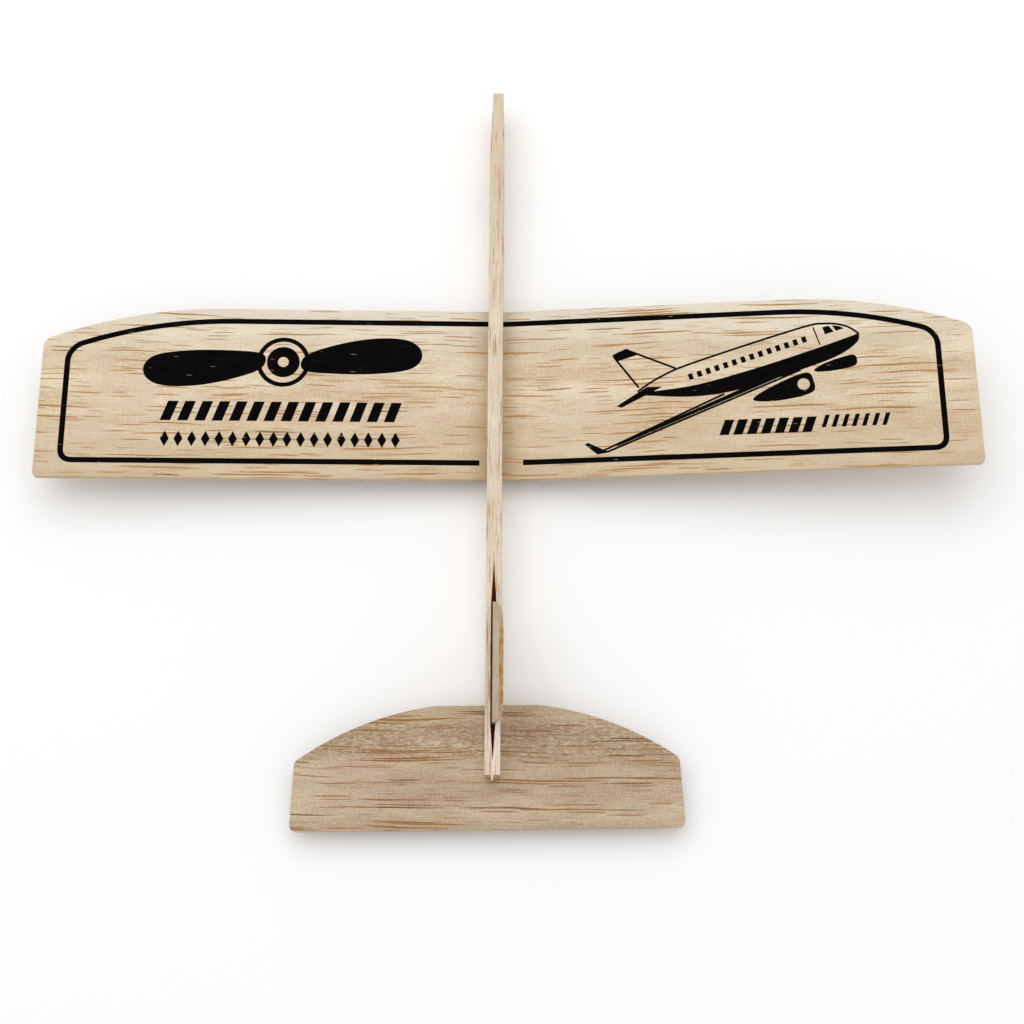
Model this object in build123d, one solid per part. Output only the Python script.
from build123d import *
import math
import os

os.makedirs("parts", exist_ok=True)

# Balsa hand glider, in millimetres. +X is the right wing, +Y the nose and +Z up.
# The origin lies on the flat belly of the fuselage, in its middle plane,
# straight below the wing's trailing edge.

INCH = 25.4

# Fuselage: a flat stick, standing on edge.
STICK_WIDTH = 3 / 16 * INCH
STICK_DEPTH = 14.0
NOSE_Y = 140.5
TAIL_Y = -96.4
BELLY_BREAK_Y = -25.0       # behind this point the belly rises to the tail
TAIL_RISE = 3.4
CHIN_RADIUS = 9.0
BROW_RADIUS = 1.5
NOSE_TAPER = 28.0           # length of the nose that is shaved thinner
NOSE_SHAVE_LEFT = 1.0
NOSE_SHAVE_RIGHT = 0.25
NOSE_CORNER = 0.5

# Wing: one sheet, creased along its middle and pushed through the fuselage.
WING_SPAN = 12 * INCH
WING_CHORD = 59.5
WING_SHEET = 5 / 64 * INCH
WING_LINE = 7.0             # height of the sheet's middle at the crease
WING_OFFSET = 3.7           # the crease sits just outside the right wall
DIHEDRAL = 3.85             # rise of each panel, in degrees
WING_ROLL = 1.2             # how far the sheet tilts in its slot, right side up
WING_YAW = 0.52             # and how far it is turned, right side forwards
WING_STRAIGHT = 93.0        # half the straight run of the leading edge
WING_TIP_ARC = 155.0
WING_FRONT_CORNER = 4.0
WING_REAR_CORNER = 1.5
CREASE_WIDTH = 0.5
CREASE_DEPTH = 0.6

# Stabilizer: a sheet slid into a slot that is open at the tail end.
STAB_SPAN = 4.75 * INCH
STAB_CHORD = 1.5 * INCH
STAB_SHEET = 1 / 16 * INCH
STAB_LINE = 6.4
STAB_OFFSET = -1.5
STAB_YAW = 0.86             # how far the sheet is turned, right side forwards
STAB_FRONT_Y = -73.9
STAB_STRAIGHT = 16.0
STAB_TIP_ARC = 95.0
STAB_TIP_LENGTH = 21.2
STAB_TIP_TAPER = 1.0
STAB_FRONT_CORNER = 2.5
STAB_REAR_CORNER = 2.0

# Fin: a sheet pressed into a slot in the top edge, leaning a little to the right.
FIN_LENGTH = 1.5 * INCH
FIN_HEIGHT = 7 / 8 * INCH
FIN_SHEET = 1 / 20 * INCH
FIN_FRONT_Y = -42.4
FIN_TAB = 4.8
FIN_OFFSET = 0.46           # where the fin crosses the top edge
FIN_LEAN = 6.3
FIN_FRONT_RAKE = 20.0       # lean-back of the leading edge, in degrees
FIN_REAR_RAKE = 7.0         # and of the rear edge
FIN_FRONT_ARC = 13.0
FIN_REAR_CORNER = 1.2
FIN_SLOT_DEPTH = 5.0
FIN_SLOT_WIDTH = 1.65
FIN_SLOT_MIDDLE = 0.1
FIN_SLOT_LEAD = 14.0        # tapered run of the slot ahead of the fin
FIN_SLOT_TRAIL = 12.0       # and behind it

# Nose weight: a slug pressed through the stick from side to side.
WEIGHT_DIAMETER = 3 / 8 * INCH
WEIGHT_Y = 104.0

SLIT = 0.05                 # clearance on each face of a sheet in its slot


def prism_z(points, z_low, z_high):
    """Solid between two Z planes over an outline given as (x, y) points."""
    outline = make_face(Polyline(*points, close=True))
    return Pos(0, 0, z_low) * extrude(outline, z_high - z_low)


def tip_drop(radius, run):
    """How far an arc falls away from its tangent over a run."""
    return radius - math.sqrt(radius**2 - run**2)


def corner(outline, x, y, radius):
    """Round the corner of a flat outline that lies nearest to (x, y)."""
    vertex = outline.vertices().sort_by_distance((x, y, 0))[0]
    return fillet(vertex, radius)


def stick_blank():
    """Fuselage stick without its slots: side profile crossed with plan."""
    front_low = (NOSE_Y, 0)
    front_high = (NOSE_Y, STICK_DEPTH)
    side = make_face(
        Polyline(
            front_low,
            front_high,
            (TAIL_Y, STICK_DEPTH),
            (TAIL_Y, TAIL_RISE),
            (BELLY_BREAK_Y, 0),
            close=True,
        )
    )
    side = corner(side, *front_low, CHIN_RADIUS)
    side = corner(side, *front_high, BROW_RADIUS)
    half = STICK_WIDTH / 2
    left = -half + NOSE_SHAVE_LEFT
    right = half - NOSE_SHAVE_RIGHT
    plan = make_face(
        Polyline(
            (-half, TAIL_Y),
            (half, TAIL_Y),
            (half, NOSE_Y - NOSE_TAPER),
            (right, NOSE_Y),
            (left, NOSE_Y),
            (-half, NOSE_Y - NOSE_TAPER),
            close=True,
        )
    )
    plan = corner(plan, left, NOSE_Y, NOSE_CORNER)
    plan = corner(plan, right, NOSE_Y, NOSE_CORNER)
    edgewise = Pos(-half, 0, 0) * extrude(Plane.YZ * side, STICK_WIDTH)
    return edgewise & extrude(plan, STICK_DEPTH)


def on_left_panel(solid):
    """Tilt a flat solid into the plane of the wing's left panel."""
    turn = Rot(0, 0, WING_YAW) * Rot(0, DIHEDRAL - WING_ROLL, 0)
    return Pos(WING_OFFSET, 0, WING_LINE) * turn * solid


def wing_slot():
    """Through slot along the left panel, which is the one inside the stick."""
    length = WING_CHORD + 2 * SLIT
    height = WING_SHEET + 2 * SLIT
    cut = Pos(-WING_OFFSET, WING_CHORD / 2, 0) * Box(4 * STICK_WIDTH, length, height)
    return on_left_panel(cut)


def on_tail(solid):
    """Move a flat solid to the stabilizer's place, turned with it."""
    rear = STAB_FRONT_Y - STAB_CHORD
    return Pos(STAB_OFFSET, rear, STAB_LINE) * Rot(0, 0, STAB_YAW) * solid


def stabilizer_slot():
    """Slot across the stick, open at the tail end."""
    length = STAB_CHORD + SLIT
    height = STAB_SHEET + 2 * SLIT
    cut = Pos(-STAB_OFFSET, length / 2, 0) * Box(4 * STICK_WIDTH, length, height)
    return on_tail(cut)


def fin_slot():
    """Upright slot with tapered ends, opened on the right by the leaning fin."""
    front = FIN_FRONT_Y
    rear = FIN_FRONT_Y - FIN_LENGTH
    left = FIN_SLOT_MIDDLE - FIN_SLOT_WIDTH / 2
    right = FIN_SLOT_MIDDLE + FIN_SLOT_WIDTH / 2
    lens = [
        (left, front),
        (FIN_SLOT_MIDDLE, front + FIN_SLOT_LEAD),
        (right, front),
        (right, rear),
        (FIN_SLOT_MIDDLE, rear - FIN_SLOT_TRAIL),
        (left, rear),
    ]
    upright = prism_z(lens, STICK_DEPTH - FIN_SLOT_DEPTH, STICK_DEPTH + 1)
    tab = Box(FIN_SHEET + 2 * SLIT, FIN_LENGTH + 2 * SLIT, 2 * FIN_TAB + 2 * SLIT)
    return upright + on_fin(Pos(0, (front + rear) / 2, 0) * tab)


def on_fin(solid):
    """Tilt an upright solid into the plane of the leaning fin."""
    return Pos(FIN_OFFSET, 0, STICK_DEPTH) * Rot(0, FIN_LEAN, 0) * solid


def slug():
    """Plain round slug, as long as the stick is wide."""
    barrel = Cylinder(WEIGHT_DIAMETER / 2, STICK_WIDTH)
    return Pos(0, WEIGHT_Y, STICK_DEPTH / 2) * Rot(0, 90, 0) * barrel


def fuselage():
    """Stick with the three slots and the hole for the nose weight."""
    body = stick_blank()
    body -= wing_slot()
    body -= stabilizer_slot()
    body -= fin_slot()
    body -= slug()
    return body


def left_panel():
    """Flat left panel of the wing, from the crease outwards."""
    half = WING_SPAN / 2
    tip_front = WING_CHORD - tip_drop(WING_TIP_ARC, half - WING_STRAIGHT)
    root = 1.0
    outline = make_face(
        Polyline((-half, tip_front), (-half, 0), (root, 0), (root, WING_CHORD))
        + Line((root, WING_CHORD), (-WING_STRAIGHT, WING_CHORD))
        + RadiusArc((-WING_STRAIGHT, WING_CHORD), (-half, tip_front), -WING_TIP_ARC)
    )
    outline = corner(outline, -half, tip_front, WING_FRONT_CORNER)
    outline = corner(outline, -half, 0, WING_REAR_CORNER)
    return extrude(outline, WING_SHEET / 2, both=True)


def wing():
    """Both panels in one sheet, mitred at the crease and scored beneath it."""
    left_half = Pos(-WING_SPAN, 0, 0) * Box(2 * WING_SPAN, WING_SPAN, WING_SPAN)
    left = (Rot(0, DIHEDRAL, 0) * left_panel()) & left_half
    sheet = left + mirror(left, Plane.YZ)
    low = -WING_SHEET / 2 / math.cos(math.radians(DIHEDRAL))
    score = make_face(
        Polyline(
            (-CREASE_WIDTH / 2, low - 0.1),
            (CREASE_WIDTH / 2, low - 0.1),
            (0, low + CREASE_DEPTH),
            close=True,
        )
    )
    sheet -= extrude(Plane.XZ * score, 2 * WING_CHORD, both=True)
    turn = Rot(0, 0, WING_YAW) * Rot(0, -WING_ROLL, 0)
    return Pos(WING_OFFSET, 0, WING_LINE) * turn * sheet


def stabilizer():
    """Flat tailplane with arched ends and slightly tapered tips."""
    half = STAB_SPAN / 2
    shoulder = (half - STAB_TIP_TAPER, STAB_TIP_LENGTH)
    front = (STAB_STRAIGHT, STAB_CHORD)
    right = make_face(
        Polyline((0, STAB_CHORD), (0, 0), (half, 0), shoulder)
        + RadiusArc(shoulder, front, -STAB_TIP_ARC)
        + Line(front, (0, STAB_CHORD))
    )
    right = corner(right, half, 0, STAB_REAR_CORNER)
    right = corner(right, *shoulder, STAB_FRONT_CORNER)
    plan = right + mirror(right, Plane.YZ)
    sheet = extrude(plan, STAB_SHEET / 2, both=True)
    return on_tail(sheet)


def fin():
    """Fin with raked edges and a rounded brow, and the tab that sits in the slot."""
    front = FIN_FRONT_Y
    rear = FIN_FRONT_Y - FIN_LENGTH
    brow = front - FIN_HEIGHT * math.tan(math.radians(FIN_FRONT_RAKE))
    heel = rear - FIN_HEIGHT * math.tan(math.radians(FIN_REAR_RAKE))
    outline = make_face(
        Polyline(
            (front, -FIN_TAB),
            (front, 0),
            (brow, FIN_HEIGHT),
            (heel, FIN_HEIGHT),
            (rear, 0),
            (rear, -FIN_TAB),
            close=True,
        )
    )
    outline = corner(outline, brow, FIN_HEIGHT, FIN_FRONT_ARC)
    outline = corner(outline, heel, FIN_HEIGHT, FIN_REAR_CORNER)
    sheet = extrude(Plane.YZ * outline, FIN_SHEET / 2, both=True)
    return on_fin(sheet)


pieces = {
    "fuselage": fuselage(),
    "wing": wing(),
    "stabilizer": stabilizer(),
    "fin": fin(),
    "nose_weight": slug(),
}

for name, piece in pieces.items():
    export_step(piece, f"parts/{name}.step")
